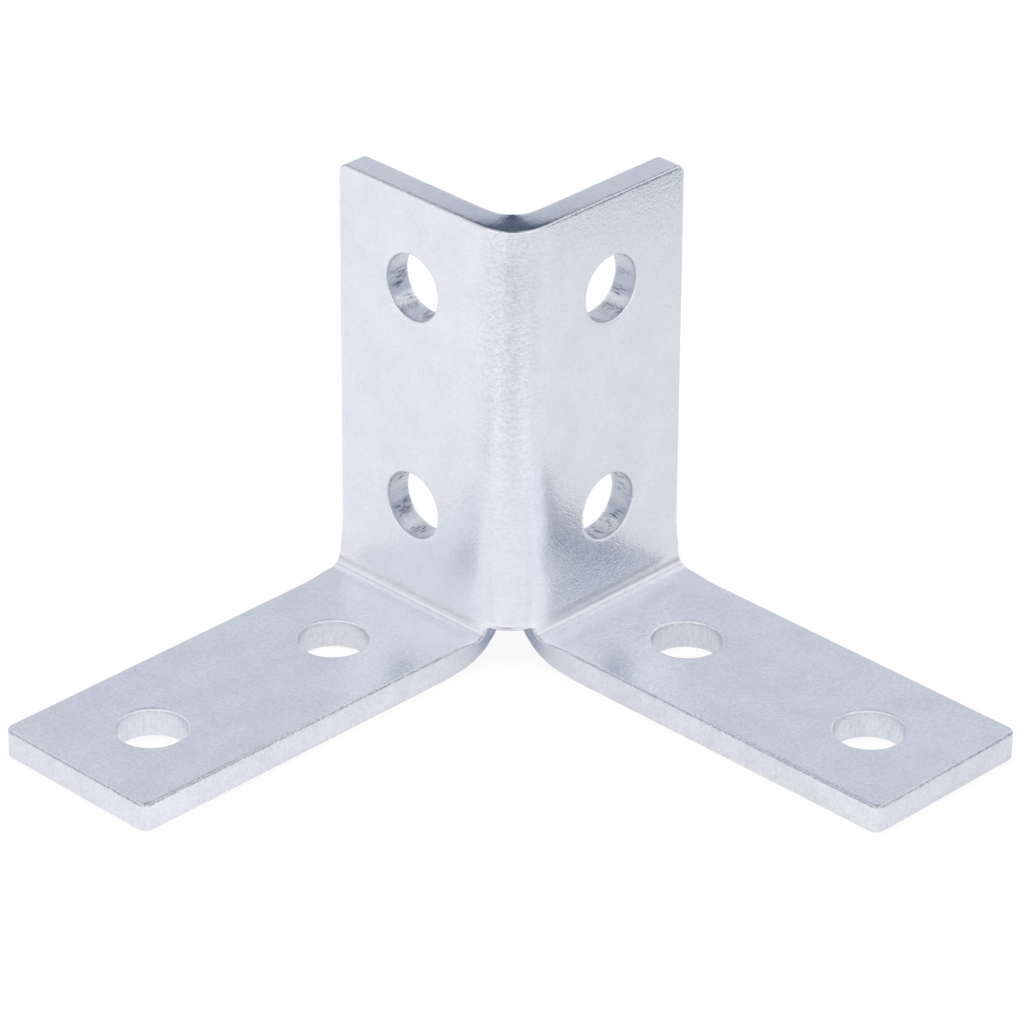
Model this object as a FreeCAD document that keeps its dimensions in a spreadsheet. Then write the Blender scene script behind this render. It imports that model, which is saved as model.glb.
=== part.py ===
import FreeCAD, Part
import math
import os
import Sketcher
from FreeCAD import Placement, Rotation, Vector

# Corner wing bracket: one steel plate, punched and folded three times.
# Two upright panels meet in a vertical ridge and hug the corner of a square post.
# From the foot of each panel a flat wing turns outwards, away from the post.
#
# Frame: x = 0 and y = 0 are the panels' inner faces and z = 0 is the underside of both
# wings. The ridge points to +X +Y, one wing runs along +X and the other along +Y, and
# the two halves mirror each other in the plane x = y. Sizes are in millimetres.

SIZES = {
    "sheetThickness": 6.0,
    "stripWidth": 40.0,  # each wing, and the flat strip that it was folded from
    "cornerGap": 1.3,  # post's corner to each wing's near edge, and inside of the ridge's fold
    "panelHeight": 95.3,
    "wingReach": 95.7,  # inner face of the panel to the wing's tip
    "holeDiameter": 14.0,
    "holePitch": 48.0,
    "endMargin": 20.0,  # last hole's centre to the end of the strip
    "edgeMargin": 20.0,  # each hole's centre to the strip's free edge
    "footRadius": 3.0,  # inside of each foot's fold
    "footThinning": 2.5,  # what the outside of that fold has over an even thickness
    "slotDrop": 1.2,  # end of the slot between the wings, below where the panels turn flat
    "cornerRadius": 2.0,
    "edgeRounding": 0.4,
    "rimChamfer": 0.5,
}
BRACKET = "corner_wing_bracket"

# Sizes that follow from the others
RIDGE_RADIUS = "Sizes.sheetThickness + Sizes.cornerGap"
HOLE_LINE = "Sizes.cornerGap + Sizes.stripWidth - Sizes.edgeMargin"
FOOT_INSIDE = "Sizes.sheetThickness + Sizes.footRadius"
FOOT_OUTSIDE = "Sizes.sheetThickness + Sizes.footRadius + Sizes.footThinning"
SLOT_END = "Sizes.sheetThickness + Sizes.footRadius - Sizes.slotDrop"

# How a sketch names its axes and the points of a curve
ACROSS, UPWARD = -1, -2
START, END, CENTRE = 1, 2, 3
ORIGIN = (ACROSS, START)

CORNER_ANGLE = 90  # degrees between the two panels, as round a square post
NEAR = 0.001
SHARP = math.radians(25)


def make_sheet(doc):
    """The driving dimensions, one named cell each."""
    sheet = doc.addObject("Spreadsheet::Sheet", "Sizes")
    for row, (name, value) in enumerate(SIZES.items(), start=1):
        sheet.set(f"A{row}", name)
        sheet.set(f"B{row}", str(value))
        sheet.setAlias(f"B{row}", name)
    doc.recompute()
    return sheet


class Outline:
    """A sketch on a plane of the body, drawn near its true size and then held by its rules."""

    def __init__(self, body, name, role):
        plane = next(plane for plane in body.Origin.OriginFeatures if plane.Role == role)
        self.sketch = body.newObject("Sketcher::SketchObject", name)
        self.sketch.AttachmentSupport = [(plane, "")]
        self.sketch.MapMode = "FlatFace"

    def shift(self, axis, by):
        self.sketch.setExpression(f"AttachmentOffset.Base.{axis}", by)

    def circle(self, centre, radius):
        curve = Part.Circle(Vector(*centre, 0), Vector(0, 0, 1), radius)
        return self.sketch.addGeometry(curve, False)

    def arc(self, centre, start, end):
        """An arc always runs anticlockwise, so its two ends may change places."""
        first, last = (math.atan2(p[1] - centre[1], p[0] - centre[0]) for p in (start, end))
        swapped = math.sin(last - first) < 0
        if swapped:
            first, last = last, first
        circle = Part.Circle(Vector(*centre, 0), Vector(0, 0, 1), math.dist(centre, start))
        curve = self.sketch.addGeometry(Part.ArcOfCircle(circle, first, last), False)
        return ((curve, END), (curve, START)) if swapped else ((curve, START), (curve, END))

    def line(self, start, end):
        curve = self.sketch.addGeometry(Part.LineSegment(Vector(*start, 0), Vector(*end, 0)), False)
        flat = abs(start[1] - end[1]) < abs(start[0] - end[0])
        self.rule("Horizontal" if flat else "Vertical", curve)
        return (curve, START), (curve, END)

    def ring(self, points, centres):
        """A closed outline. Side n starts at point n and is an arc where it has a centre."""
        sides = []
        for number, start in enumerate(points):
            end = points[(number + 1) % len(points)]
            if number in centres:
                sides.append(self.arc(centres[number], start, end))
            else:
                sides.append(self.line(start, end))
        for number, side in enumerate(sides):
            self.rule("Coincident", *sides[number - 1][1], *side[0])
        return [side[0][0] for side in sides]

    def rule(self, kind, *parts):
        return self.sketch.addConstraint(Sketcher.Constraint(kind, *parts))

    def size(self, name, kind, *parts, by):
        """A named dimension that follows the expression by."""
        index = self.rule(kind, *parts, value_of(self.sketch, by))
        self.sketch.renameConstraint(index, name)
        self.sketch.setExpression(f"Constraints.{name}", by)


def value_of(sheet, expression):
    """What an expression comes to, for a sketch's first drawing."""
    return float(sheet.evalExpression(expression))


def strip_outline(body, sheet):
    """Side view of one folded strip, wing and panel, anticlockwise from the panel's back."""
    thick, reach, height = sheet.sheetThickness, sheet.wingReach, sheet.panelHeight
    inside = thick + sheet.footRadius
    outside = value_of(sheet, FOOT_OUTSIDE)
    out = Outline(body, "StripOutline", "XZ_Plane")
    out.shift("z", "Sizes.cornerGap")
    points = [(0, outside), (outside, 0), (reach, 0), (reach, thick),
              (inside, thick), (thick, inside), (thick, height), (0, height)]
    centres = {0: (outside, outside), 4: (inside, inside)}
    outer, under, tip, _, inner, _, top, back = out.ring(points, centres)
    for curve in (outer, inner):
        out.rule("Horizontal", curve, CENTRE, curve, START)
        out.rule("Vertical", curve, CENTRE, curve, END)
    out.rule("PointOnObject", under, END, ACROSS)
    out.rule("PointOnObject", back, START, UPWARD)
    out.size("outerRadius", "Radius", outer, by=FOOT_OUTSIDE)
    out.size("innerRadius", "Radius", inner, by="Sizes.footRadius")
    out.size("reach", "DistanceX", *ORIGIN, under, END, by="Sizes.wingReach")
    out.size("wingThickness", "DistanceY", tip, START, tip, END, by="Sizes.sheetThickness")
    out.size("height", "DistanceY", *ORIGIN, back, START, by="Sizes.panelHeight")
    out.size("panelThickness", "DistanceX", top, END, top, START, by="Sizes.sheetThickness")
    return out.sketch


def ridge_outline(body, sheet):
    """The panel's section from the slot's end to the top, at its distance from the ridge's axis."""
    gap, height = sheet.cornerGap, sheet.panelHeight
    front = gap + sheet.sheetThickness
    inside, outside = sheet.footRadius, value_of(sheet, FOOT_OUTSIDE)
    bend = sheet.sheetThickness + inside
    slot = value_of(sheet, SLOT_END)
    back_foot = gap + outside - math.sqrt(outside**2 - (outside - slot)**2)
    front_foot = front + inside - math.sqrt(inside**2 - (bend - slot)**2)
    out = Outline(body, "RidgeOutline", "XZ_Plane")
    out.shift("z", "Sizes.cornerGap")
    out.shift("x", "-Sizes.cornerGap")
    points = [(back_foot, slot), (front_foot, slot), (front, bend),
              (front, height), (gap, height), (gap, outside)]
    centres = {1: (front + inside, bend), 5: (gap + outside, outside)}
    end, flare, face, top, back, heel = out.ring(points, centres)
    for curve in (flare, heel):
        out.rule("Horizontal", curve, CENTRE, curve, START)
    out.size("front", "DistanceX", *ORIGIN, face, START, by=RIDGE_RADIUS)
    out.size("back", "DistanceX", *ORIGIN, back, START, by="Sizes.cornerGap")
    out.size("top", "DistanceY", *ORIGIN, top, START, by="Sizes.panelHeight")
    out.size("slotEnd", "DistanceY", *ORIGIN, end, START, by=SLOT_END)
    out.size("flareRadius", "Radius", flare, by="Sizes.footRadius")
    out.size("heelRadius", "Radius", heel, by=FOOT_OUTSIDE)
    out.size("flareStart", "DistanceY", *ORIGIN, face, START, by=FOOT_INSIDE)
    out.size("heelStart", "DistanceY", *ORIGIN, back, END, by=FOOT_OUTSIDE)
    return out.sketch


def hole_outline(body, sheet, name, role, strip_end, upright):
    """Two bolt holes in a row, up the panel or along the wing, counted from the strip's end."""
    along, aside = ("DistanceY", "DistanceX") if upright else ("DistanceX", "DistanceY")
    line = value_of(sheet, HOLE_LINE)
    first = value_of(sheet, strip_end) - sheet.endMargin
    places = [first, first - sheet.holePitch]
    out = Outline(body, name, role)
    outer, inner = (
        out.circle((-line, place) if upright else (place, -line), sheet.holeDiameter / 2)
        for place in places
    )
    out.rule("Equal", outer, inner)
    out.rule("Vertical" if upright else "Horizontal", outer, CENTRE, inner, CENTRE)
    out.size("line", aside, outer, CENTRE, *ORIGIN, by=HOLE_LINE)
    out.size("fromEnd", along, *ORIGIN, outer, CENTRE, by=f"{strip_end} - Sizes.endMargin")
    out.size("pitch", along, inner, CENTRE, outer, CENTRE, by="Sizes.holePitch")
    out.size("diameter", "Diameter", outer, by="Sizes.holeDiameter")
    return out.sketch


def holes(body, name, outline):
    """Cuts right through, both ways, and makes sure that something was cut."""
    cut = body.newObject("PartDesign::Pocket", name)
    cut.Profile = outline
    cut.Type = "ThroughAll"
    cut.SideType = "Symmetric"
    body.Document.recompute()
    if cut.Shape.Volume > cut.BaseFeature.Shape.Volume - NEAR:
        raise RuntimeError(f"{name} cuts nothing")
    return cut


def dress(body, kind, name, size, by, chosen):
    """Rounds or bevels every edge of the body that the test chosen picks."""
    body.Document.recompute()
    base = body.Tip
    picked = [f"Edge{n}" for n, edge in enumerate(base.Shape.Edges, start=1) if chosen(edge)]
    feature = body.newObject(f"PartDesign::{kind}", name)
    feature.Base = (base, picked)
    feature.setExpression(size, by)
    body.Document.recompute()
    return feature


def strip_corner(sheet):
    """Tests for the square corners at the free ends of the strip: a wing's tip, a panel's top."""
    def chosen(edge):
        middle = edge.CenterOfMass
        at_tip = max(middle.x, middle.y) > sheet.wingReach - NEAR
        at_top = middle.z > sheet.panelHeight - NEAR
        through = abs(edge.Length - sheet.sheetThickness) < NEAR
        return through and isinstance(edge.Curve, Part.Line) and (at_tip or at_top)
    return chosen


def hole_rim(sheet):
    """Tests for the round edges of the bolt holes."""
    def chosen(edge):
        ring = isinstance(edge.Curve, Part.Circle) and edge.isClosed()
        return ring and abs(2 * edge.Curve.Radius - sheet.holeDiameter) < NEAR
    return chosen


def sharp_edge(shape):
    """Tests for an edge where two faces meet at an angle."""
    def chosen(edge):
        if edge.isClosed():
            return False
        middle = edge.valueAt((edge.FirstParameter + edge.LastParameter) / 2)
        normals = []
        for face in shape.ancestorsOfType(edge, Part.Face):
            normals.append(face.normalAt(*face.Surface.parameter(middle)))
        return len(normals) == 2 and normals[0].getAngle(normals[1]) > SHARP
    return chosen


def make_bracket(doc, sheet):
    """One folded strip with its holes, the ridge turned about its own axis, and the mirror image.

    The ridge turns the strip's own section, foot fold and all, so its lower end flares out
    and runs smoothly into both feet over the slot that parts the wings.
    """
    body = doc.addObject("PartDesign::Body", "Bracket")
    body.Label = BRACKET
    halves = body.newObject("PartDesign::Plane", "Halves")
    xz_plane = next(plane for plane in body.Origin.OriginFeatures if plane.Role == "XZ_Plane")
    halves.AttachmentSupport = [(xz_plane, "")]
    halves.MapMode = "FlatFace"
    halves.AttachmentOffset = Placement(Vector(), Rotation(Vector(0, 1, 0), CORNER_ANGLE / 2))

    strip = body.newObject("PartDesign::Pad", "Strip")
    strip.Profile = strip_outline(body, sheet)
    strip.setExpression("Length", "Sizes.stripWidth")
    panel_line = hole_outline(body, sheet, "PanelHoleOutline", "YZ_Plane", "Sizes.panelHeight", True)
    panel_holes = holes(body, "PanelHoles", panel_line)
    wing_line = hole_outline(body, sheet, "WingHoleOutline", "XY_Plane", "Sizes.wingReach", False)
    wing_holes = holes(body, "WingHoles", wing_line)

    section = ridge_outline(body, sheet)
    ridge = body.newObject("PartDesign::Revolution", "Ridge")
    ridge.Profile = section
    ridge.ReferenceAxis = (section, ["V_Axis"])
    ridge.Angle = CORNER_ANGLE
    doc.recompute()
    other = body.newObject("PartDesign::Mirrored", "OtherHalf")
    other.Originals = [strip, panel_holes, wing_holes]
    other.MirrorPlane = (halves, [""])
    body.Tip = other

    dress(body, "Fillet", "StripCorners", "Radius", "Sizes.cornerRadius", strip_corner(sheet))
    dress(body, "Chamfer", "HoleRims", "Size", "Sizes.rimChamfer", hole_rim(sheet))
    dress(body, "Fillet", "Edges", "Radius", "Sizes.edgeRounding", sharp_edge(body.Tip.Shape))
    return body


def check(doc, bodies):
    """Stops before anything is written if a feature failed or a solid isn't sound."""
    for item in doc.Objects:
        if "Invalid" in item.State or "Error" in item.State:
            raise RuntimeError(f"{item.Label}: {item.State}")
    for body in bodies:
        if body.Shape.isNull() or not body.Shape.isValid() or len(body.Shape.Solids) != 1:
            raise RuntimeError(f"{body.Label} is not one sound solid")


def main():
    doc = FreeCAD.newDocument("CornerWingBracket")
    bodies = [make_bracket(doc, make_sheet(doc))]
    doc.recompute()
    check(doc, bodies)
    os.makedirs("parts", exist_ok=True)
    for body in bodies:
        body.Shape.exportStep(f"parts/{body.Label}.step")
        print(body.Label, "volume", round(body.Shape.Volume, 1), "box", body.Shape.BoundBox)


main()
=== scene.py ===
import math
from types import SimpleNamespace

import bpy
import numpy as np
from mathutils import Matrix, Vector


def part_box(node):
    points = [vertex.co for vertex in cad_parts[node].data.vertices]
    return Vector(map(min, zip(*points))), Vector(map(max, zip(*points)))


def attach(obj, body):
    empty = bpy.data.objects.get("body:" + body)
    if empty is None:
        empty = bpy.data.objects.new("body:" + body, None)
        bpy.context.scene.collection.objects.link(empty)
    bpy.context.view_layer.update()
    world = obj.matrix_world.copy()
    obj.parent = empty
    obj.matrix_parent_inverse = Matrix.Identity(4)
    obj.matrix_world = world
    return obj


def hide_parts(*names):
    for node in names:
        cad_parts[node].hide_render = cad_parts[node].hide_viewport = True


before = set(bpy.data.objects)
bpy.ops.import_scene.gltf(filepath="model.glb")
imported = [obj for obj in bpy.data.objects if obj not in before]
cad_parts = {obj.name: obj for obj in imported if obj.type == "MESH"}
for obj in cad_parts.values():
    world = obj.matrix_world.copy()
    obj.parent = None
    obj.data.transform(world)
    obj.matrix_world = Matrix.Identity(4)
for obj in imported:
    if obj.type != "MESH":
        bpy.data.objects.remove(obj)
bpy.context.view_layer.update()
print("frame loaded:", sorted(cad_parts))

millimetre = 0.001
tiny = 1e-6               # millimetres, for tests that rounding errors mustn't spoil
quarterTurn = math.pi / 2
boxLow, boxHigh = (tuple(c / millimetre for c in corner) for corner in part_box("corner_wing_bracket"))

# All lengths of the bracket are in millimetres until the mesh is written.
# The sheet is described as the flat blank it is folded from: u runs across it with 0 on the ridge, v runs
# along each leg with 0 at the wing's tip, and depth runs from 0 at the back and underside to the front.
bracket = {
    "sheet": 6.0,
    "strip": 40.0,
    "ridgeSpread": 4.4,       # how far the ridge's bend fades out along the sheet, near the top
    "lowSpread": 6.2,         # and just over the slot, where the bend is softer
    "lowFade": 24.0,          # how far up the ridge the softer bend turns into the other
    "slipWidth": 14.0,        # how far across its longer way round is taken up
    "softStart": 4.0,         # where the ridge's bend starts to reach into the strip, past the wing's end
    "softLength": 13.0,       # and how soon it is there in full
    "footEnd": 12.5,          # where a foot fold ends, from the far faces of panel and wing
    "footFront": 3.0,         # radius of the foot fold on the front
    "footBack": 11.5,         # and on the back
    "footBlank": 16.0,        # length of flat sheet that a foot fold takes
    "slotTop": 91.0,          # where the slot's near walls start to arch over, from the wing's tip
    "slotRise": 1.9,          # height of that arch
    "slotPower": 6.5,         # 2 is an ellipse, more is squarer
    "edge": 0.4,              # rounding along every edge
    "corner": 2.0,            # corner radius of tips and panel tops
    "hole": 14.0,
    "margin": 20.0,
    "pitch": 48.0,
}
reach = boxHigh[0]
height = boxHigh[2]
gap = -boxLow[0] - bracket["strip"]
wingEnd = reach - bracket["footEnd"]
panelStart = wingEnd + bracket["footBlank"]
foldMiddle = (wingEnd + panelStart) / 2
blankLength = panelStart + height - bracket["footEnd"]


def smoothStep(x):
    # 3x^2 - 2x^3 between 0 and 1
    x = np.clip(x, 0.0, 1.0)
    return x * x * (3.0 - 2.0 * x)


def runningSum(values, step):
    # trapezium rule, starting from nothing
    return np.concatenate([[0.0], np.cumsum((values[1:] + values[:-1]) * step / 2)])


def ridgeCurve(spread):
    # Middle of the sheet seen from above, for one half: its curvature falls off as exp(-(u / spread)^2),
    # the heading is the running sum of the curvature, and the place is the running sum of the heading.
    step, spare = 0.02, 10.0
    along = np.arange(0.0, bracket["strip"] + spare, step)
    turn = runningSum(np.exp(-(along / spread) ** 2), step)
    turn *= quarterTurn / 2 / turn[-1]
    heading = -quarterTurn / 2 - turn
    x = runningSum(np.cos(heading), step)
    y = runningSum(np.sin(heading), step)
    start = bracket["sheet"] / 2 - x[-1]
    return along, np.stack([x + start, y + start, quarterTurn / 2 - turn])


curveAlong, highCurve = ridgeCurve(bracket["ridgeSpread"])
lowCurve = ridgeCurve(bracket["lowSpread"])[1]
# half width of the ridge: a strip's near edge lies this far from the ridge's middle, in the blank
ridgeHalf = curveAlong[-1] + highCurve[1, -1] + gap
# the softer bend is a little longer round, so its flat end is set back to the same place
lowSlip = lowCurve[1, -1] - highCurve[1, -1]


def foldPath(share, base, radius):
    # Straight, quarter turn and straight again, from the panel (share 0) to the wing (share 1), as x and z
    straight = bracket["footEnd"] - base - radius
    run = share * (2 * straight + quarterTurn * radius)
    turn = np.clip((run - straight) / radius, 0.0, quarterTurn)
    x = base + radius * (1 - np.cos(turn)) + np.maximum(run - straight - quarterTurn * radius, 0.0)
    z = base + radius * (1 - np.sin(turn)) + np.maximum(straight - run, 0.0)
    return x, z


def sideView(v, share):
    # A leg seen from the side: distance out from the post and height, for a share of the sheet's depth.
    # Front and back follow paths of their own round the foot fold, and the depth runs straight between them.
    fold = np.clip((panelStart - v) / bracket["footBlank"], 0.0, 1.0)
    backX, backZ = foldPath(fold, 0.0, bracket["footBack"])
    frontX, frontZ = foldPath(fold, bracket["sheet"], bracket["footFront"])
    x = backX + (frontX - backX) * share + np.maximum(wingEnd - v, 0.0)
    z = backZ + (frontZ - backZ) * share + np.maximum(v - panelStart, 0.0)
    return x, z


forming = {
    "farBulge": 0.8,          # inner fibres of a foot fold pushed out past its far edge
    "farRecess": 0.55,        # outer fibres drawn in
    "slotBulge": 0.3,         # the same beside the slot
    "slotRecess": 0.72,
    "reach": 9.0,             # how far along the blank that goes, from the middle of the fold
    "fade": 3.2,              # how far in from the edge
    "riseFade": 2.0,          # and how far up the ridge from the slot
    "thinning": 0.08,         # share of the sheet that is drawn away where a crease meets the slot
    "thinReach": 4.0,
    "thinFade": 3.0,
    "endLift": 2.4,           # back of the slot's end above its front, in the blank, which levels its wall
    "endFade": 5.0,
    "crownDip": 0.75,         # ridge's outer fibres drawn down at its top end
    "crownLift": 0.4,         # its inner fibres pushed up
    "crownCurl": 0.42,        # and the very last of them further
    "crownFade": 5.0,
    "crownWidth": 5.2,
}


def pressed(u, v, share):
    # What folding does to the blank's edges: sideways at the foot folds, lengthwise at the ridge's ends.
    # Each shift is a height times a bell across the fold times exp(-distance to the edge / fade).
    offFold = v - foldMiddle
    bell = np.exp(-(offFold / forming["reach"]) ** 4)
    farEdge = ridgeHalf + bracket["strip"] - np.abs(u)
    farPush = (forming["farBulge"] * share - forming["farRecess"] * (1 - share)) * bell
    newU = u + np.sign(u) * farPush * np.exp(-farEdge / forming["fade"])
    above = np.maximum(v - bracket["slotTop"], 0.0)
    toSlot = np.maximum(np.hypot(u, above), tiny)
    fromSlot = np.maximum(toSlot - ridgeHalf, 0.0)
    slotPush = (forming["slotBulge"] * share - forming["slotRecess"] * (1 - share)) * bell
    slotPush = slotPush * np.exp(-fromSlot / forming["fade"] - above / forming["riseFade"])
    newU = newU - slotPush * u / toSlot
    newV = v + forming["endLift"] * (1 - share) * np.exp(-fromSlot / forming["endFade"]) * above / toSlot
    # the crown's dip grows as share^2, and its curl as (1 - share)^6
    crown = np.exp(-(u / forming["crownWidth"]) ** 2 - (blankLength - v) / forming["crownFade"])
    newV = newV + crown * (forming["crownLift"] + forming["crownCurl"] * (1 - share) ** 6
                           - forming["crownDip"] * share ** 2)
    thin = np.exp(-(offFold / forming["thinReach"]) ** 2 - fromSlot / forming["thinFade"])
    return newU, newV, share * (1 - forming["thinning"] * thin)


def folded(u, v, depth):
    # Place of a point of the blank on the folded bracket. In the wings the strip is flat right to its near
    # edge, in the panels the ridge's soft bend reaches into the strip, and the foot fold turns one into the
    # other.
    u, v, share = pressed(u, v, depth / bracket["sheet"])
    x, z = sideView(v, share)
    across = np.abs(u)

    angle = quarterTurn / 2 * (1 - np.clip(across / ridgeHalf, 0.0, 1.0))
    radius = x + gap
    flatX = radius * np.cos(angle) - gap
    flatY = radius * np.sin(angle) - gap - np.maximum(across - ridgeHalf, 0.0)

    low = np.exp(-(np.maximum(v - panelStart, 0.0) / bracket["lowFade"]) ** 2)
    upper = [np.interp(across, curveAlong, curve) for curve in highCurve]
    lower = [np.interp(across, curveAlong, curve) for curve in lowCurve]
    middleX, middleY, facing = (a + low * (b - a) for a, b in zip(upper, lower))
    middleY = middleY - low * lowSlip * smoothStep(across / bracket["slipWidth"])
    out = x - bracket["sheet"] / 2
    softX = middleX + out * np.cos(facing)
    softY = middleY + out * np.sin(facing)

    soft = smoothStep((v - wingEnd - bracket["softStart"]) / bracket["softLength"])
    nearX = flatX + (softX - flatX) * soft
    nearY = flatY + (softY - flatY) * soft
    firstHalf = u >= 0
    return np.stack([np.where(firstHalf, nearX, nearY), np.where(firstHalf, nearY, nearX), z], axis=-1)


meshing = {
    "acrossStrip": 40,
    "holeRows": 34,           # rows beside a hole's patch
    "plainRows": 7,
    "foldRows": 36,
    "holeLayers": 13,         # rings from a hole's rim out to its patch's border
    "crowding": 1.15,         # how much closer rows and columns lie near their ends
    "holeCrowding": 1.25,     # and a hole's rings
    "ridgeColumns": 22,
    "ridgeShift": 9.0,        # how far up the ridge its rows still follow the arch of the slot's end
    "ridgeSquare": 1.2,       # and its columns the slot's squarish corners
    "roundSteps": 4,
    "wallSteps": 6,
    "weldSteps": 1e5,         # to the millimetre: points that fall on the same step are one
}


def crowded(low, high, count, bias=meshing["crowding"]):
    # count + 1 values from low to high, closer together at both ends: sin(bias t) / sin(bias)
    t = np.linspace(-1.0, 1.0, count + 1)
    return (low + high) / 2 + (high - low) / 2 * np.sin(bias * t) / math.sin(bias)


def gridFaces(rows, columns, closed=False):
    # four-sided faces of a grid of points, row after row; closed joins the last column to the first
    index = np.arange(rows * columns).reshape(rows, columns)
    here = index if closed else index[:, :-1]
    beside = np.roll(index, -1, axis=1) if closed else index[:, 1:]
    return np.stack([here[:-1], beside[:-1], beside[1:], here[1:]], axis=-1).reshape(-1, 4)


def plainPatch(columns, rows):
    # every column's u with every row's v
    u, v = np.meshgrid(columns, rows)
    return np.stack([u, v], axis=-1).reshape(-1, 2), gridFaces(len(rows), len(columns))


def roundedCorner(border, cornerU, cornerV, radius, signU, signV):
    # border points beyond the centre of a corner's arc are drawn in on to the arc
    centre = np.array([cornerU - signU * radius, cornerV - signV * radius])
    away = border - centre
    beyond = (away[:, 0] * signU > 0) & (away[:, 1] * signV > 0)
    length = np.maximum(np.hypot(away[:, 0], away[:, 1]), tiny)
    return np.where(beyond[:, None], centre + away * (radius / length)[:, None], border)


def holePatch(columns, rows, centre, corners):
    # Rings between a round hole and a four-sided border: each border point is joined to the rim straight
    # towards the hole's centre, and the rings lie closer together near the rim and near the border.
    bottom = np.stack([columns, np.full_like(columns, rows[0])], axis=-1)[:-1]
    right = np.stack([np.full_like(rows, columns[-1]), rows], axis=-1)[:-1]
    top = np.stack([columns[::-1], np.full_like(columns, rows[-1])], axis=-1)[:-1]
    left = np.stack([np.full_like(rows, columns[0]), rows[::-1]], axis=-1)[:-1]
    border = np.concatenate([bottom, right, top, left])
    for signU, signV in corners:
        cornerU = columns[-1] if signU > 0 else columns[0]
        cornerV = rows[-1] if signV > 0 else rows[0]
        border = roundedCorner(border, cornerU, cornerV, bracket["corner"] - bracket["edge"], signU, signV)
    centre = np.array(centre)
    away = border - centre
    rimRadius = bracket["hole"] / 2 + bracket["edge"]
    rim = centre + away * (rimRadius / np.hypot(away[:, 0], away[:, 1]))[:, None]
    spread = crowded(0.0, 1.0, meshing["holeLayers"], meshing["holeCrowding"])
    rings = border + (rim - border) * spread[:, None, None]
    return rings.reshape(-1, 2), gridFaces(len(spread), len(border), closed=True)


def legPatches(columns, holeU, holeV):
    # One leg's flat face, from the wing's tip to the panel's top: patches round its four holes, plain ones
    # between them, and the foot fold.
    edge, half = bracket["edge"], bracket["margin"]
    wingBreak = 2 * holeV[1] - wingEnd
    panelBreak = 2 * holeV[2] - panelStart
    spans = [(edge, holeV[0] + half, 0), (holeV[0] + half, wingBreak, None), (wingBreak, wingEnd, 1),
             (wingEnd, panelStart, "fold"),
             (panelStart, panelBreak, 2), (panelBreak, holeV[3] - half, None),
             (holeV[3] - half, blankLength - edge, 3)]
    tips = {0: [(-1, -1), (1, -1)], 3: [(1, 1)]}
    patches, legRows = [], []
    for low, high, content in spans:
        if content == "fold":
            rows = np.linspace(low, high, meshing["foldRows"] + 1)
            rows[np.argmin(np.abs(rows - bracket["slotTop"]))] = bracket["slotTop"]
        else:
            rows = crowded(low, high, meshing["plainRows" if content is None else "holeRows"])
        if content in (None, "fold"):
            patches.append(plainPatch(columns, rows))
        else:
            patches.append(holePatch(columns, rows, (holeU, holeV[content]), tips.get(content, [])))
        legRows.append(rows)
    return patches, np.unique(np.round(np.concatenate(legRows), decimals=9))


def ridgePatch(rows, nearSide):
    # Columns at equal angles round the slot's end, which is a superellipse |sin|^p + |cos|^p = 1, and rows
    # that arch over it. Both turn plain further up.
    rows = rows[rows >= bracket["slotTop"] - tiny]
    angle = np.linspace(-quarterTurn, quarterTurn, meshing["ridgeColumns"] + 1)
    above = rows - rows[0]
    arch = np.exp(-(above / meshing["ridgeShift"]) ** 2)
    square = np.exp(-above / meshing["ridgeSquare"])
    power = bracket["slotPower"]
    span = (np.abs(np.sin(angle)) ** power + np.abs(np.cos(angle)) ** power) ** (-1 / power)
    rise = bracket["slotRise"] + bracket["edge"]
    u = nearSide * np.sin(angle) * (1.0 + (span - 1.0) * square[:, None])
    v = rows[:, None] + rise * arch[:, None] * span * np.cos(angle)
    return np.stack([u, v], axis=-1).reshape(-1, 2), gridFaces(*u.shape)


def flatSheet():
    # The blank's flat face, inside the rounding of its edges: patches that share their border points, for
    # one leg, its mirror image, and the ridge between them.
    nearSide = ridgeHalf + bracket["edge"]
    farSide = ridgeHalf + bracket["strip"] - bracket["edge"]
    columns = crowded(nearSide, farSide, meshing["acrossStrip"])
    margin, pitch = bracket["margin"], bracket["pitch"]
    holeU = ridgeHalf + bracket["strip"] - margin
    holeV = [margin, margin + pitch, blankLength - margin - pitch, blankLength - margin]
    patches, rows = legPatches(columns, holeU, holeV)
    patches += [(points * [-1.0, 1.0], faces[:, ::-1]) for points, faces in patches]
    patches.append(ridgePatch(rows, nearSide))

    points = np.concatenate([p for p, _ in patches])
    starts = np.cumsum([0] + [len(p) for p, _ in patches[:-1]])
    faces = np.concatenate([f + s for (_, f), s in zip(patches, starts)])
    keys = np.round(points * meshing["weldSteps"]).astype(np.int64)
    _, first, inverse = np.unique(keys, axis=0, return_index=True, return_inverse=True)
    return points[first], inverse.reshape(-1)[faces], (holeU, holeV)


def borderOf(points, faces):
    # Edges that only one face uses, and for each of their points the direction out of the sheet: the sum
    # of the two edges' own outward directions.
    edges = np.stack([faces, np.roll(faces, -1, axis=1)], axis=-1).reshape(-1, 2)
    count = len(points)
    single = ~np.isin(edges[:, 0] * count + edges[:, 1], edges[:, 1] * count + edges[:, 0])
    edges = edges[single]
    direction = points[edges[:, 1]] - points[edges[:, 0]]
    direction /= np.hypot(direction[:, 0], direction[:, 1])[:, None]
    outward = np.stack([direction[:, 1], -direction[:, 0]], axis=-1)
    total = np.zeros_like(points)
    np.add.at(total, edges[:, 0], outward)
    np.add.at(total, edges[:, 1], outward)
    ring = np.unique(edges)
    normals = total[ring] / np.hypot(total[ring, 0], total[ring, 1])[:, None]
    local = np.full(count, -1)
    local[ring] = np.arange(len(ring))
    return local[edges], ring, normals


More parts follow.
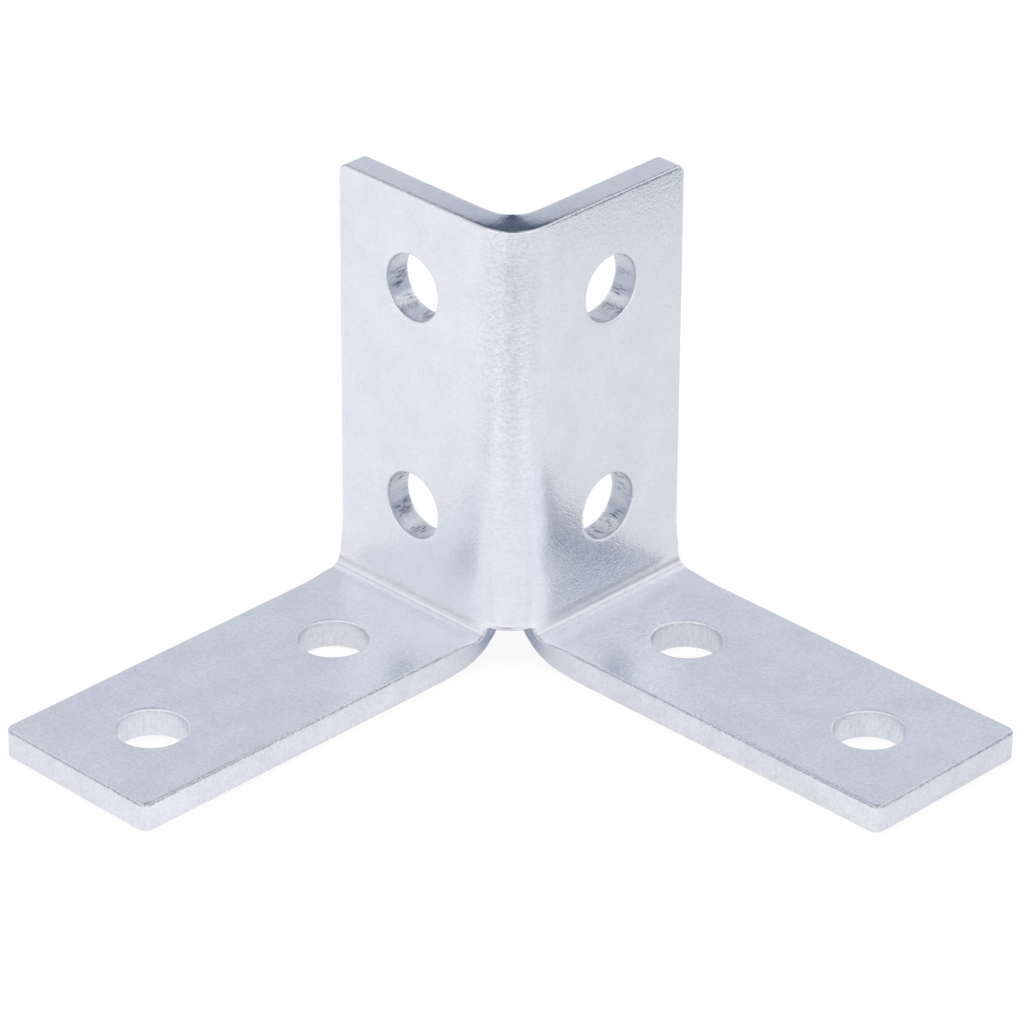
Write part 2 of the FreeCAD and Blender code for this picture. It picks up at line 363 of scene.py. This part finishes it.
def bracketMesh():
    # Front and back sheet, and between their borders a band that rounds over, runs down the wall and rounds
    # over again. Every vertex keeps its place in the blank, so that patterns follow the metal round a fold.
    points, faces, (holeU, holeV) = flatSheet()
    edges, ring, normals = borderOf(points, faces)
    sheet, edge = bracket["sheet"], bracket["edge"]
    turn = np.linspace(0.0, quarterTurn, meshing["roundSteps"] + 1)
    wall = np.linspace(sheet - edge, edge, meshing["wallSteps"] + 1)[1:-1]
    out = np.concatenate([edge * np.sin(turn), np.full(len(wall), edge), edge * np.sin(turn[::-1])])
    depth = np.concatenate([sheet - edge * (1 - np.cos(turn)), wall, edge * (1 - np.cos(turn[::-1]))])
    out, depth = out[1:-1], depth[1:-1]

    count, rim = len(points), len(ring)
    bandPlaces = points[ring] + normals * out[:, None, None]
    bandDepths = np.broadcast_to(depth[:, None], bandPlaces.shape[:2])
    blank = np.concatenate([np.column_stack([points, np.full(count, sheet)]),
                            np.column_stack([points, np.zeros(count)]),
                            np.dstack([bandPlaces, bandDepths]).reshape(-1, 3)])
    layers = np.vstack([ring, 2 * count + np.arange(len(out) * rim).reshape(-1, rim), ring + count])
    start, end = edges[:, 0], edges[:, 1]
    band = np.stack([layers[1:, end], layers[1:, start], layers[:-1, start], layers[:-1, end]], axis=-1)
    quads = np.concatenate([faces[:, ::-1], faces + count, band.reshape(-1, 4)])

    across = np.abs(blank[:, 0]) - holeU
    fromHole = np.min([np.hypot(across, blank[:, 1] - v) for v in holeV], axis=0)
    bore = (fromHole < bracket["hole"] / 2 + edge + tiny).astype(float)
    bore[:2 * count] = 0.0
    return folded(blank[:, 0], blank[:, 1], blank[:, 2]), quads, blank, bore


def addObject(name, data):
    thing = bpy.data.objects.new(name, data)
    bpy.context.scene.collection.objects.link(thing)
    return thing


def makePiece(name, places, faces):
    # every face has four sides, so face n starts at loop 4n
    mesh = bpy.data.meshes.new(name)
    mesh.vertices.add(len(places))
    mesh.vertices.foreach_set("co", (places * millimetre).astype(np.float32).ravel())
    mesh.loops.add(faces.size)
    mesh.loops.foreach_set("vertex_index", faces.astype(np.int32).ravel())
    mesh.polygons.add(len(faces))
    mesh.polygons.foreach_set("loop_start", np.arange(0, faces.size, 4, dtype=np.int32))
    mesh.update(calc_edges=True)
    mesh.validate()
    mesh.shade_smooth()
    return addObject(name, mesh)


class Socket:
    # A shader socket with arithmetic: each operator adds a Math node, or a Vector Math node for vectors.
    def __init__(self, tree, link, kind="value"):
        self.tree, self.link, self.kind = tree, link, kind

    def maths(self, operation, *others):
        nodeType = "ShaderNodeVectorMath" if self.kind == "vector" else "ShaderNodeMath"
        values = dict(enumerate((self, *others)))
        return self.tree.make(nodeType, {"operation": operation}, values, kind=self.kind)

    def __add__(self, other):
        return self.maths("ADD", other)

    def __sub__(self, other):
        return self.maths("SUBTRACT", other)

    def __rsub__(self, other):
        return self.tree.make("ShaderNodeMath", {"operation": "SUBTRACT"}, {0: other, 1: self})

    def __mul__(self, other):
        return self.maths("MULTIPLY", other)

    def __truediv__(self, other):
        return self.maths("DIVIDE", other)

    __radd__ = __add__
    __rmul__ = __mul__

    def size(self):
        return self.maths("ABSOLUTE")

    def least(self, other):
        return self.maths("MINIMUM", other)

    def most(self, other):
        return self.maths("MAXIMUM", other)

    def ramp(self, low, high):
        # 0 below low, 1 above high, smooth between them
        return self.tree.make("ShaderNodeMapRange", {"interpolation_type": "SMOOTHSTEP"},
                              {"Value": self, "From Min": low, "From Max": high})

    def bell(self, centre, width):
        # exp(-((value - centre) / width)^2)
        near = (self - centre) / width
        return (near * near * -1.0).maths("EXPONENT")


class Shader:
    # A node tree being written: make() adds a node, with its settings first and then its sockets.
    def __init__(self, owner):
        owner.use_nodes = True
        self.nodes, self.links = owner.node_tree.nodes, owner.node_tree.links
        self.nodes.clear()

    def make(self, nodeType, settings=None, values=None, output=0, kind="value"):
        node = self.nodes.new(nodeType)
        for name, value in (settings or {}).items():
            setattr(node, name, value)
        for name, value in (values or {}).items():
            if isinstance(value, Socket):
                self.links.new(value.link, node.inputs[name])
            else:
                node.inputs[name].default_value = value
        if not node.outputs:
            return node
        return Socket(self, node.outputs[output], kind)

    def outputs(self, names, nodeType, values=None):
        # one socket for each named output of a node
        node = self.make(nodeType, None, values).link.node
        return [Socket(self, node.outputs[name]) for name in names]

    def noise(self, place, scale, detail, roughness, stretch=None):
        # noise from 0 to 1 on a place in millimetres; scale is in cells for each millimetre
        if stretch:
            place = place * stretch
        return self.make("ShaderNodeTexNoise", {"noise_dimensions": "3D"},
                         {"Vector": place, "Scale": scale, "Detail": detail, "Roughness": roughness})

    def mix(self, share, first, second):
        # colours mixed by a share from 0 to 1
        return self.make("ShaderNodeMix", {"data_type": "RGBA"}, {0: share, 6: first, 7: second}, output=2)


# In the dictionaries below a Range is where a ramp starts and ends, and other pairs are a bell's middle
# and width. Places and widths are in millimetres in the blank, and a pattern's Range is in its own values,
# which go from 0 to 1.
zinc = {
    "bright": (0.805, 0.835, 0.89, 1.0),
    "dull": (0.735, 0.765, 0.825, 1.0),
    # dark is also painted shade along the foot folds and over the slot
    "dark": (0.13, 0.155, 0.21, 1.0),
    # white is also painted highlight along the foot folds and at the slot
    "white": (0.90, 0.93, 0.97, 1.0),
    "roughness": 0.23,
    "grainRoughness": 0.06,
    "cloudRoughness": 0.10,
    "wallRoughness": 0.06,
    "boreRoughness": 0.3,
    "creaseRoughness": 0.14,
    "bumpDepth": 0.00007,     # metres
    "rippleHeight": 0.7,      # shares of that depth
    "swellHeight": 0.45,
    "creaseHeight": 0.3,
    "streakHeight": 0.4,
}
# noises over the blank: cells for each millimetre, detail, roughness, and stretch where they have one
patterns = {
    "cloud": (0.13, 3.0, 0.6),
    "grain": (2.3, 3.0, 0.7),
    "pits": (3.0, 2.0, 0.6),
    "speckle": (1.3, 3.0, 0.7),
    "scuff": (0.9, 3.0, 0.7, (1.0, 2.2, 1.0)),
    "streak": (1.0, 3.0, 0.6, (2.6, 2.6, 0.16)),
    "torn": (1.0, 2.0, 0.6, (0.30, 0.30, 0.10)),
    "shreds": (1.0, 3.0, 0.7, (2.4, 2.4, 0.45)),
    "blotches": (0.5, 3.0, 0.6),
    "breaks": (2.4, 3.0, 0.7),
    "ripple": (1.7, 2.0, 0.55),
    "swell": (0.35, 2.0, 0.5),
}
areas = {
    "wallRange": (0.05, 0.45),                  # below either face
    "frontRange": (bracket["sheet"] - 0.6, bracket["sheet"] - 0.1),
    "wingRange": (wingEnd - 6.0, wingEnd),
    "stripRange": (ridgeHalf - 1.0, ridgeHalf + 0.5),
    "uprightRange": (panelStart - 1.0, panelStart + 1.0),
}


def surfaceAreas(shader, blank):
    # where a point lies in the blank, and masks from 0 to 1 for the areas of the surface
    across, along, depth = shader.outputs("XYZ", "ShaderNodeSeparateXYZ", {0: blank})
    bore = shader.make("ShaderNodeAttribute", {"attribute_name": "bore"}, output=2)
    front = depth.ramp(*areas["frontRange"])
    return SimpleNamespace(
        across=across, along=along, depth=depth, bore=bore, front=front,
        outline=1.0 - bore,
        wall=depth.least(bracket["sheet"] - depth).ramp(*areas["wallRange"]),
        inWing=1.0 - along.ramp(*areas["wingRange"]),
        inStrip=across.size().ramp(*areas["stripRange"]) * front,
        upright=along.ramp(*areas["uprightRange"]),
        crease=along - foldMiddle)


plating = {
    "cloud": 1.3,             # how much clouds change the tone, and how much more in the wings
    "wingCloud": 0.9,
    "grain": 0.8,
    "wingGrain": 0.7,
    "middle": 0.6,            # share of bright in the middle tone
    "ridge": (0.6, 3.4),      # the stretched outside of the ridge, duller and more speckled towards its top
    "ridgeRange": (panelStart + 8.0, panelStart + 58.0),
    "speckleRange": (0.42, 0.60),
    "speckle": 0.045,         # share of dark everywhere, and what the wings and the ridge have over it
    "wingSpeckle": 0.045,
    "ridgeSpeckle": 0.11,
    "pitRange": (0.59, 0.71),
    "pits": 0.06,
    "wingPits": 0.05,
    "ridgePits": 0.46,
}


def platedColour(shader, spot, pattern):
    # mottled grain of the plating: cloudy patches, fine grain, specks and small pits
    cloudShare = spot.inWing * plating["wingCloud"] + plating["cloud"]
    grainShare = spot.inWing * plating["wingGrain"] + plating["grain"]
    tone = ((pattern["cloud"] - 0.5) * cloudShare + (pattern["grain"] - 0.5) * grainShare
            + plating["middle"])
    colour = shader.mix(tone.ramp(0.0, 1.0), zinc["dull"], zinc["bright"])
    stretched = spot.across.bell(*plating["ridge"]) * spot.along.ramp(*plating["ridgeRange"]) * spot.front
    speckleShare = (stretched * plating["ridgeSpeckle"] + spot.inWing * plating["wingSpeckle"]
                    + plating["speckle"])
    pitShare = stretched * plating["ridgePits"] + spot.inWing * plating["wingPits"] + plating["pits"]
    speckle = pattern["speckle"].ramp(*plating["speckleRange"])
    pits = pattern["pits"].ramp(*plating["pitRange"])
    colour = shader.mix(speckle * speckleShare, colour, zinc["dark"])
    return shader.mix(pits * pitShare, colour, zinc["dark"])


creases = {
    "line": (0.0, 0.24),      # the press tool's line, given a painted highlight, with a dull line of painted shade to each side
    # share of white in the line's painted highlight
    "lineHighlight": 0.35,
    "dull": (0.7, 1.1),
    "dullBroken": (-0.6, 0.3),
    "brokenRange": (0.3, 0.6),
    "brokenShare": 0.6,
    "brokenLeast": 0.3,
    # share of dark in the dull lines' painted shade
    "dullShade": 0.23,
    "rows": [(2.6, 0.8), (-2.6, 0.8), (-1.5, 0.5)],   # rows of scuffs beside them
    "rowRange": (0.5, 0.66),
    "rowWhite": 0.5,
    "rowLeast": 0.15,
    "slotHighlights": [(-2.6, 1.3), (2.2, 1.0)],             # painted highlights at the slot, to each side of a foot fold's crease
    "slotHighlightPlace": (ridgeHalf + 0.6, 2.8),
    "slotHighlightWhite": 0.5,
    "slotShade": (bracket["slotTop"] + bracket["slotRise"] + 0.65, 0.3),   # painted shade in a band over the slot's arch
    "slotShadeAcross": (0.4, 1.7),
    "slotShadeRange": (0.3, 0.5),
    "slotShadeDark": 0.7,
    "worn": (0.6, 2.6),       # where the tool left the metal rougher
}


def creaseLines(spot, pattern):
    # what the press tool leaves along a foot fold: a line and dull ones, which the colour gives a painted
    # highlight and painted shade, and rows of scuffs
    line = spot.crease.bell(*creases["line"])
    broken = pattern["scuff"].ramp(*creases["brokenRange"]) * creases["brokenShare"] + creases["brokenLeast"]
    dull = spot.crease.bell(*creases["dull"]) + spot.crease.bell(*creases["dullBroken"]) * broken
    first, second, third = (spot.crease.bell(*row) for row in creases["rows"])
    return line, dull, first + second + third


def creasedColour(shader, spot, pattern, lines, colour):
    # those lines, with painted shade on the dull ones, a painted highlight on the tool's line and white
    # scuffs; then painted highlights at the slot's ends of the creases and a band of painted shade over the
    # slot
    line, dull, rows = lines
    # painted shade along the dull lines beside the tool's line
    colour = shader.mix(dull * spot.inStrip * creases["dullShade"], colour, zinc["dark"])
    scuffed = pattern["scuff"].ramp(*creases["rowRange"]) * creases["rowWhite"] + creases["rowLeast"]
    # painted highlight along the tool's line, and the rows of scuffs rubbed white
    highlightAndScuffs = (line * creases["lineHighlight"] + rows * scuffed) * spot.inStrip
    colour = shader.mix(highlightAndScuffs, colour, zinc["white"])
    # painted highlights at the slot, to each side of a crease
    low, high = (spot.crease.bell(*place) for place in creases["slotHighlights"])
    slotHighlight = (low + high) * (spot.across.size().bell(*creases["slotHighlightPlace"]) * spot.front)
    colour = shader.mix(slotHighlight * creases["slotHighlightWhite"], colour, zinc["white"])
    # painted shade in a band over the slot's arch, broken by scuffs
    slotShade = (spot.along.bell(*creases["slotShade"]) * spot.across.bell(*creases["slotShadeAcross"]) * spot.front
            * pattern["scuff"].ramp(*creases["slotShadeRange"]))
    return shader.mix(slotShade * creases["slotShadeDark"], colour, zinc["dark"])


walls = {
    "outlineDark": 0.06,
    "boreDark": 0.12,
    "streakRange": (0.48, 0.72),
    "outlineStreaks": 0.035,
    "boreStreaks": 0.14,
    "blotchRange": (0.52, 0.68),
    "blotches": 0.05,
    "tornRange": (0.47, 0.57),
    "shredRange": (0.44, 0.58),
    "tornDepth": (2.7, 2.0),
    "tornUpright": 0.80,      # share of dark in the bores of the panels, over that in all bores
    "tornLeast": 0.08,
}


def walledColour(shader, spot, pattern, colour):
    # punched and sheared walls: fine streaks through the sheet, dark and torn in the bores
    duller = spot.outline * walls["outlineDark"] + spot.bore * spot.upright * walls["boreDark"]
    colour = shader.mix(spot.wall * duller, colour, zinc["dark"])
    streaked = spot.outline * walls["outlineStreaks"] + spot.bore * walls["boreStreaks"]
    streaks = pattern["streak"].ramp(*walls["streakRange"])
    colour = shader.mix(streaks * spot.wall * streaked, colour, zinc["dark"])
    blotches = pattern["blotches"].ramp(*walls["blotchRange"])
    colour = shader.mix(blotches * spot.wall * spot.outline * walls["blotches"], colour, zinc["dark"])
    torn = pattern["torn"].ramp(*walls["tornRange"]) * pattern["shreds"].ramp(*walls["shredRange"])
    torn = torn * spot.depth.bell(*walls["tornDepth"]) * spot.bore
    darker = spot.upright * walls["tornUpright"] + walls["tornLeast"]
    return shader.mix(torn * darker, colour, zinc["dark"])


burrs = {
    "line": (bracket["sheet"] - 0.32, 0.2),     # broken dark line just below the front
    "lineRange": (0.40, 0.55),
    "lineDark": 0.7,
    "specks": (bracket["sheet"] - 0.14, 0.12),  # and specks of it on the rounding
    "speckRange": (0.44, 0.56),
    "speckDark": 0.55,
    "faceRange": (bracket["sheet"] - 0.07, bracket["sheet"] - 0.02),
    "foldRange": (7.0, 15.0),                   # away from a foot fold, where the line is at its strongest
    "foldShare": 0.7,
    "foldLeast": 0.3,
    "rim": (ridgeHalf + 0.3, 0.6),              # the wings' near rim, pitted dark and rubbed white
    "rimPits": 0.7,
    "rimRange": (0.30, 0.40),
    "rimWhite": 0.6,
}


def burredColour(shader, spot, pattern, colour):
    # burr along the front of the sheared outline, kept off the face itself
    breaks = pattern["breaks"]
    edgeOnly = spot.outline * (1.0 - spot.depth.ramp(*burrs["faceRange"]))
    offFold = spot.crease.size().ramp(*burrs["foldRange"]) * burrs["foldShare"] + burrs["foldLeast"]
    line = spot.depth.bell(*burrs["line"]) * edgeOnly * offFold
    specks = spot.depth.bell(*burrs["specks"]) * edgeOnly
    colour = shader.mix(line * breaks.ramp(*burrs["lineRange"]) * burrs["lineDark"], colour, zinc["dark"])
    missing = 1.0 - breaks.ramp(*burrs["speckRange"])
    colour = shader.mix(specks * missing * burrs["speckDark"], colour, zinc["dark"])
    rim = spot.across.size().bell(*burrs["rim"]) * spot.inWing * spot.front
    pits = pattern["pits"].ramp(*plating["pitRange"])
    colour = shader.mix(rim * pits * burrs["rimPits"], colour, zinc["dark"])
    rubbed = 1.0 - breaks.ramp(*burrs["rimRange"])
    return shader.mix(rim * rubbed * burrs["rimWhite"], colour, zinc["white"])


def zincPlate():
    material = bpy.data.materials.new("bright zinc plate")
    shader = Shader(material)
    blank = shader.make("ShaderNodeAttribute", {"attribute_name": "blank"}, output=1, kind="vector")
    pattern = {name: shader.noise(blank, *values) for name, values in patterns.items()}
    spot = surfaceAreas(shader, blank)
    lines = creaseLines(spot, pattern)
    colour = platedColour(shader, spot, pattern)
    colour = creasedColour(shader, spot, pattern, lines, colour)
    colour = walledColour(shader, spot, pattern, colour)
    colour = burredColour(shader, spot, pattern, colour)

    roughness = ((pattern["grain"] - 0.5) * zinc["grainRoughness"]
                 + (pattern["cloud"] - 0.5) * zinc["cloudRoughness"]
                 + spot.wall * zinc["wallRoughness"] + spot.bore * spot.front * zinc["boreRoughness"]
                 + spot.crease.bell(*creases["worn"]) * spot.inStrip * zinc["creaseRoughness"]
                 + zinc["roughness"])
    line, dull, rows = lines
    relief = (pattern["ripple"] * zinc["rippleHeight"] + pattern["swell"] * zinc["swellHeight"]
              + (line - dull + rows) * spot.inStrip * zinc["creaseHeight"]
              + pattern["streak"] * spot.wall * zinc["streakHeight"])
    bump = shader.make("ShaderNodeBump", None,
                       {"Strength": 1.0, "Distance": zinc["bumpDepth"], "Height": relief})
    base = shader.make("ShaderNodeBsdfPrincipled", None,
                       {"Base Color": colour, "Metallic": 1.0, "Roughness": roughness, "Normal": bump})
    shader.make("ShaderNodeOutputMaterial", None, {"Surface": base})
    return material


places, faces, blank, bore = bracketMesh()
plate = makePiece("folded_plate", places, faces)
blankAttribute = plate.data.attributes.new("blank", "FLOAT_VECTOR", "POINT")
blankAttribute.data.foreach_set("vector", blank.astype(np.float32).ravel())
boreAttribute = plate.data.attributes.new("bore", "FLOAT", "POINT")
boreAttribute.data.foreach_set("value", bore.astype(np.float32))
plate.data.materials.append(zincPlate())
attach(plate, "root")
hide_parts("corner_wing_bracket")
print("bracket:", len(plate.data.vertices), "vertices,", 2 * len(plate.data.polygons), "triangles")

sideways = (math.sqrt(0.5), -math.sqrt(0.5), 0.0)   # towards the left of the camera's view
forwards = (math.sqrt(0.5), math.sqrt(0.5), 0.0)    # from the bracket to the camera
upwards = (0.0, 0.0, 1.0)
plainWhite = (1.0, 1.0, 1.0, 1.0)

# Lengths of the studio are in metres. The metal sees the floor and the sky in the tones below, each laid
# over the last where its ramps (Range) or bells (other pairs) say, and the camera sees them plain white.
# The floor's tones are painted light and shade in its glow, which only the metal sees.
floorLook = {
    "size": 6.0,
    "drop": 0.0001,           # below the wings
    "paint": (0.86, 0.87, 0.88, 1.0),
    "white": 0.86,            # share of plain white in what the camera sees
    "glow": 0.7,              # share of the tones in what the metal sees
    # painted light from the left, so the right side is darker
    "right": (0.785, 0.80, 0.805, 1.0),
    "left": (0.95, 0.95, 0.96, 1.0),
    "leftRange": (-0.12, 0.12),
    "bright": (1.3, 1.3, 1.3, 1.0),       # painted pools of light, by shares, between the wings and beside their tips
    "near": 0.23,
    "nearAhead": (0.03, 0.02),
    "tips": 0.66,
    "tipsAside": (0.06, 0.03),
    "tipsAhead": (0.08, 0.03),
    "far": (0.77, 0.77, 0.77, 1.0),       # painted shade far in front
    "farRange": (0.09, 0.16),
    "farAside": (-0.01, 0.05),
    "hollow": (0.20, 0.27, 0.39, 1.0),    # painted shadow under the slot, where little light gets in
    "hollowAside": (0.0, 0.007),
    "slotShadowAhead": (-0.005, 0.010),
}
sky = {
    "behind": (0.715, 0.74, 0.80, 1.0),
    "left": (1.19, 1.18, 1.14, 1.0),
    "right": (1.44, 1.41, 1.36, 1.0),
    "sideRange": (0.25, 0.75),
    "front": (1.33, 1.31, 1.26, 1.0),
    "frontRange": (0.06, 0.30),
    "high": (0.92, 0.93, 0.96, 1.0),
    "highRange": (0.50, 0.66),
    "highBehind": (0.0, 0.35),
    "overhead": (0.10, 0.12, 0.18, 1.0),
    "overheadRange": (0.59, 0.74),
    "overheadAside": (0.0, 0.16),
    "horizonLeft": (0.72, 0.73, 0.76, 1.0),
    "horizonRight": (0.78, 0.80, 0.84, 1.0),
    "horizonRange": (0.12, 0.48),
    "horizonAside": (0.78, 0.94),
}


def newShader(name):
    material = bpy.data.materials.new(name)
    return material, Shader(material)


def seenDirectly(shader):
    # camera or see-through rays, and mirror rays, each 1 or 0
    camera, glossy, clear = shader.outputs(("Is Camera Ray", "Is Glossy Ray", "Is Transmission Ray"),
                                           "ShaderNodeLightPath")
    return camera.most(clear), glossy


def towards(shader, place, direction):
    # how far a place or direction reaches along a direction
    return shader.make("ShaderNodeVectorMath", {"operation": "DOT_PRODUCT"}, {0: place, 1: direction},
                       output=1)


def floorTones(shader, place):
    # painted light and shade: right to left, brighter between and beside the wings, darker far in front and
    # under the slot
    side = towards(shader, place, sideways)
    ahead = towards(shader, place, forwards)
    near = ahead.bell(*floorLook["nearAhead"]) * floorLook["near"]
    tips = side.size().bell(*floorLook["tipsAside"]) * ahead.bell(*floorLook["tipsAhead"]) * floorLook["tips"]
    far = ahead.ramp(*floorLook["farRange"]) * side.bell(*floorLook["farAside"])
    hollow = side.bell(*floorLook["hollowAside"]) * ahead.bell(*floorLook["slotShadowAhead"])
    colour = shader.mix(side.ramp(*floorLook["leftRange"]), floorLook["right"], floorLook["left"])
    colour = shader.mix(near + tips, colour, floorLook["bright"])
    colour = shader.mix(far, colour, floorLook["far"])
    return shader.mix(hollow, colour, floorLook["hollow"])


def makeFloor():
    half = floorLook["size"] / 2
    mesh = bpy.data.meshes.new("floor")
    square = ((-half, -half), (half, -half), (half, half), (-half, half))
    corners = [(x, y, -floorLook["drop"]) for x, y in square]
    mesh.from_pydata(corners, [], [(0, 1, 2, 3)])
    material, shader = newShader("pale floor")
    direct, glossy = seenDirectly(shader)
    place = shader.make("ShaderNodeTexCoord", output=3, kind="vector")
    # painted light and shade in the floor's glow for the metal, plain white for the camera
    colour = shader.mix(direct, floorTones(shader, place), plainWhite)
    paint = shader.make("ShaderNodeBsdfDiffuse", None, {"Color": floorLook["paint"]})
    glow = shader.make("ShaderNodeEmission", None, {"Color": colour, "Strength": 1.0})
    seen = direct * floorLook["white"] + glossy * floorLook["glow"]
    both = shader.make("ShaderNodeMixShader", None, {0: seen, 1: paint, 2: glow})
    shader.make("ShaderNodeOutputMaterial", None, {"Surface": both})
    material.cycles.emission_sampling = "NONE"   # a glow to be seen, not a lamp, which would leave noise
    mesh.materials.append(material)
    addObject("floor", mesh)


def makeSky():
    # a plain studio: one tone behind, others to the left, right and front, and darker overhead
    world = bpy.data.worlds.new("studio")
    bpy.context.scene.world = world
    shader = Shader(world)
    direct, _ = seenDirectly(shader)
    direction = shader.make("ShaderNodeTexCoord", output=0, kind="vector")
    side = towards(shader, direction, sideways)
    otherSide = side * -1.0
    ahead = towards(shader, direction, forwards)
    rise = towards(shader, direction, upwards)
    high = rise.ramp(*sky["highRange"]) * (1.0 - ahead.ramp(*sky["highBehind"]))
    overhead = rise.ramp(*sky["overheadRange"]) * side.bell(*sky["overheadAside"])
    level = 1.0 - rise.ramp(*sky["horizonRange"])
    colour = shader.mix(side.ramp(*sky["sideRange"]), sky["behind"], sky["left"])
    for share, tone in ((otherSide.ramp(*sky["sideRange"]), "right"),
                        (ahead.ramp(*sky["frontRange"]), "front"),
                        (high, "high"),
                        (overhead, "overhead"),
                        (level * side.ramp(*sky["horizonAside"]), "horizonLeft"),
                        (level * otherSide.ramp(*sky["horizonAside"]), "horizonRight")):
        colour = shader.mix(share, colour, sky[tone])
    tones = shader.make("ShaderNodeBackground", None, {"Color": colour, "Strength": 1.0})
    white = shader.make("ShaderNodeBackground", None, {"Color": plainWhite, "Strength": 1.0})
    both = shader.make("ShaderNodeMixShader", None, {0: direct, 1: tones, 2: white})
    shader.make("ShaderNodeOutputWorld", None, {"Surface": both})


# Dark cards that only the metal sees: to the right, mirrored by the right panel's foot, and over the ridge,
# mirrored by its top. Each has its middle and its two half edges, as lengths sideways, forwards and upwards.
flags = {
    "right flag": ((-0.157, 0.000, 0.0600), (0.0, 0.030, 0.0), (0.0, 0.0, 0.0200)),
    "top flag": ((0.0, -0.034, 0.139), (0.024, 0.0, 0.0), (0.0, 0.015, 0.011)),
}
flagColour = (0.005, 0.035, 0.10, 1.0)


def makeFlag(name, middle, *halfEdges):
    # corners are the middle plus or minus each half edge
    axes = np.array([sideways, forwards, upwards])
    signs = np.array([(-1, -1), (1, -1), (1, 1), (-1, 1)])
    corners = (np.array(middle) + signs @ np.array(halfEdges)) @ axes
    mesh = bpy.data.meshes.new(name)
    mesh.from_pydata(corners.tolist(), [], [(0, 1, 2, 3)])
    material, shader = newShader(name)
    cloth = shader.make("ShaderNodeBsdfDiffuse", None, {"Color": flagColour})
    shader.make("ShaderNodeOutputMaterial", None, {"Surface": cloth})
    mesh.materials.append(material)
    flag = addObject(name, mesh)
    flag.visible_camera = False
    flag.visible_diffuse = False
    flag.visible_shadow = False


lamp = {
    "power": 8.0,
    "size": 0.7,
    "place": (0.1, -0.1, 1.6),
    "aim": (0.0, 0.0, 0.0),
}


def makeLamp(name):
    data = bpy.data.lights.new(name, "AREA")
    data.shape = "SQUARE"
    data.size = lamp["size"]
    data.energy = lamp["power"]
    light = addObject(name, data)
    light.location = lamp["place"]
    light.rotation_euler = (Vector(lamp["aim"]) - Vector(lamp["place"])).to_track_quat("-Z", "Y").to_euler()
    light.visible_glossy = False              # no image of the lamp in the metal


makeFloor()
makeSky()
for name, sides in flags.items():
    makeFlag(name, *sides)
makeLamp("soft lamp")
print("floor, sky and lamp")

view = {
    "azimuth": 44.57,         # of the camera, from +X towards +Y
    "elevation": 29.25,
    "roll": 0.36,
    "distance": 1.1289,
    "target": (0.007407, 0.007669, 0.037958),
    "focal": 5861.0 / 1024.0,  # in widths of the picture
    "sensor": 36.0,
    "clipStart": 0.05,
}


def makeCamera():
    # back runs from the target to the camera; right and up are turned about it by the roll
    azimuth, elevation, roll = (math.radians(view[k]) for k in ("azimuth", "elevation", "roll"))
    back = Vector((math.cos(elevation) * math.cos(azimuth), math.cos(elevation) * math.sin(azimuth),
                   math.sin(elevation)))
    level = Vector((-math.sin(azimuth), math.cos(azimuth), 0.0))
    upright = back.cross(level)
    right = level * math.cos(roll) + upright * math.sin(roll)
    up = upright * math.cos(roll) - level * math.sin(roll)
    data = bpy.data.cameras.new("camera")
    data.sensor_width = view["sensor"]
    data.lens = view["focal"] * view["sensor"]
    data.clip_start = view["clipStart"]
    camera = addObject("camera", data)
    turned = Matrix((right, up, back)).transposed().to_4x4()
    camera.matrix_world = Matrix.Translation(Vector(view["target"]) + back * view["distance"]) @ turned
    bpy.context.scene.camera = camera


makeCamera()
bpy.context.scene.view_settings.view_transform = "Standard"
print("camera")
